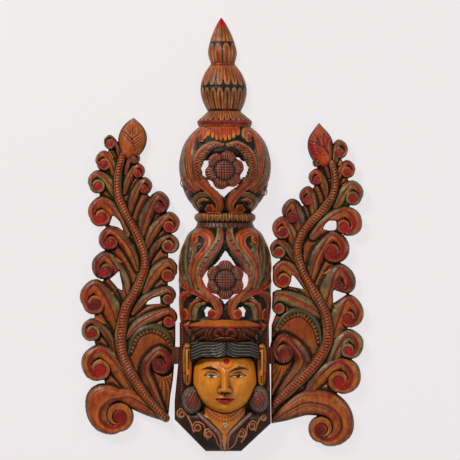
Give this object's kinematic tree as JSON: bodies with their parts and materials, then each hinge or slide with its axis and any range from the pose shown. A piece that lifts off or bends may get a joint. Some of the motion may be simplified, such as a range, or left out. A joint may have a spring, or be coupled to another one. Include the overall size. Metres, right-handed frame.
{
  "type": "carved wall mask",
  "caption": "Carved and painted wooden wall mask: a head under a tall pierced crown and turned finial, between two flat wings of leaf scrolls tongued into its sides.",
  "frame": {"origin": "on the flat back of the block, on its centre line, level with the middle of the two wing tongues", "axes": "+X to the right of the mask as it is looked at, +Y up towards the point of the crown, +Z out of the face, away from the wall. The mask lies on its back on Z = 0"},
  "size_m": [0.4507, 0.6902, 0.0869],
  "materials": {
    "block_wood": "painted and varnished, worn",
    "wing_wood": "painted and varnished, worn",
    "staple_wire": "dulled wire"
  },
  "bodies": {
    "root": {"mask_block": "block_wood", "left_wing": "wing_wood", "right_wing": "wing_wood", "left_wire_staple": "staple_wire", "right_wire_staple": "staple_wire"}
  },
  "joints": []
}
